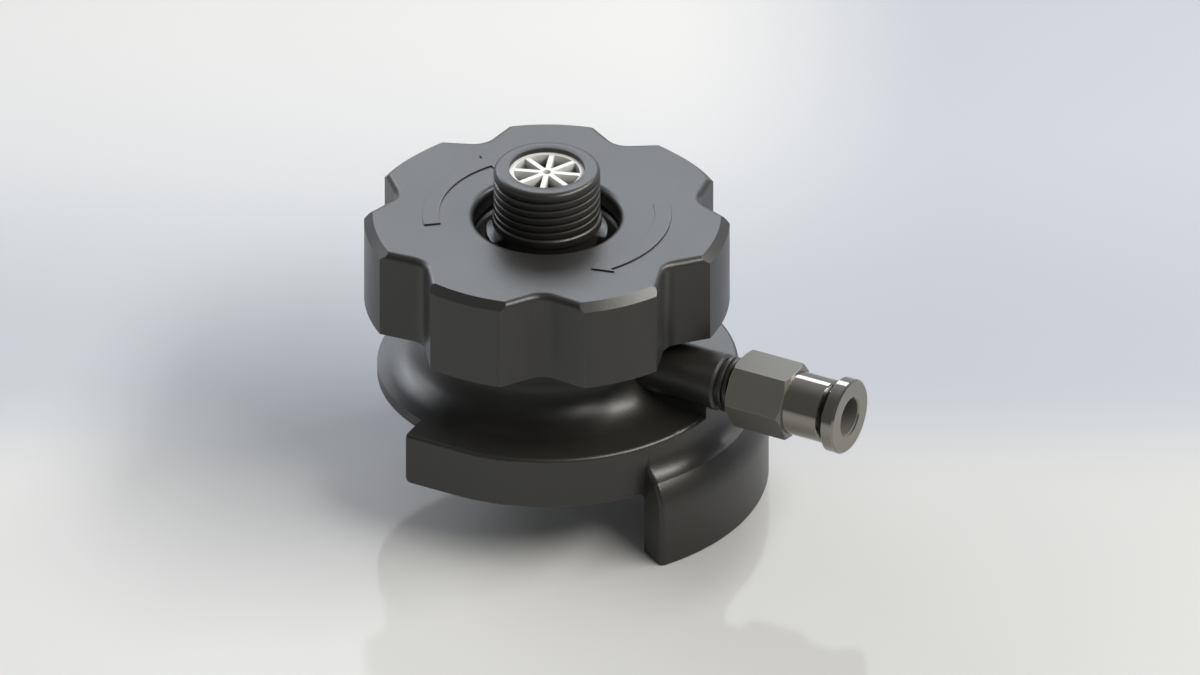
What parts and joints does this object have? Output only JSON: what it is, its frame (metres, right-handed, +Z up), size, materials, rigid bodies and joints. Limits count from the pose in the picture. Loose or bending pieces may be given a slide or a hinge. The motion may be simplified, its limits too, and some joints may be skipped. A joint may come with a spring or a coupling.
{
  "type": "keg coupler",
  "caption": "Slide-on keg coupler with a lobed twist knob that drives a central probe, a threaded beer outlet on top and a side push-in gas fitting.",
  "frame": {"origin": "on the coupler's axis, level with the underside of its flange, which is the top of the keg's neck", "axes": "+Z up the probe's axis to the beer outlet, +X along the gas inlet; the keg's neck slides in from -X"},
  "size_m": [0.1122, 0.0818, 0.0749],
  "materials": {
    "nylon": "satin",
    "acetal": "satin",
    "acetal_black": "satin",
    "spring_steel": "polished",
    "stainless": "turned",
    "white_plastic": "gloss",
    "rubber": "matte",
    "nickel": "nickel plated"
  },
  "bodies": {
    "body": {"body": "nylon", "body_seal": "rubber", "rod_seal": "rubber", "thrust_washer": "acetal", "knob_snap_ring": "spring_steel", "gas_nipple": "nylon", "nipple_washer": "rubber", "fitting_washer": "rubber", "gas_check_valve": "rubber", "fitting_body": "nickel", "tube_o_ring": "rubber", "o_ring_spacer": "acetal", "grab_ring": "spring_steel", "collet_guide": "acetal_black"},
    "knob": {"knob": "nylon", "cam_sleeve": "acetal"},
    "probe": {"probe_tube": "stainless", "probe_seal": "rubber", "seal_retainer": "stainless", "pin_carrier": "acetal", "drive_pin_left": "spring_steel", "drive_pin_right": "spring_steel", "outlet_spigot": "nylon", "outlet_o_ring": "rubber", "flow_insert": "white_plastic", "ball_seat": "rubber"},
    "check_ball": {"check_ball": "spring_steel"},
    "release_collet": {"release_collet": "nickel"}
  },
  "joints": [
    {"name": "knob_turn", "type": "hinge", "parent": "body", "child": "knob", "pos_m": [0, 0, 0.0289], "axis": [0, 0, 1], "range_deg": [0, 120]},
    {"name": "probe_slide", "type": "slide", "parent": "body", "child": "probe", "axis": [0, 0, 1], "range_m": [0, 0.0085]},
    {"name": "check_ball_lift", "type": "slide", "parent": "probe", "child": "check_ball", "axis": [0, 0, 1], "range_m": [0, 0.002]},
    {"name": "collet_push", "type": "slide", "parent": "body", "child": "release_collet", "axis": [-1, 0, 0], "range_m": [0, 0.0009], "stiffness_N_per_m": 1500}
  ],
  "couplings": [
    {"joint": "knob_turn", "follows": "probe_slide", "rad_per_m": 246.4}
  ]
}
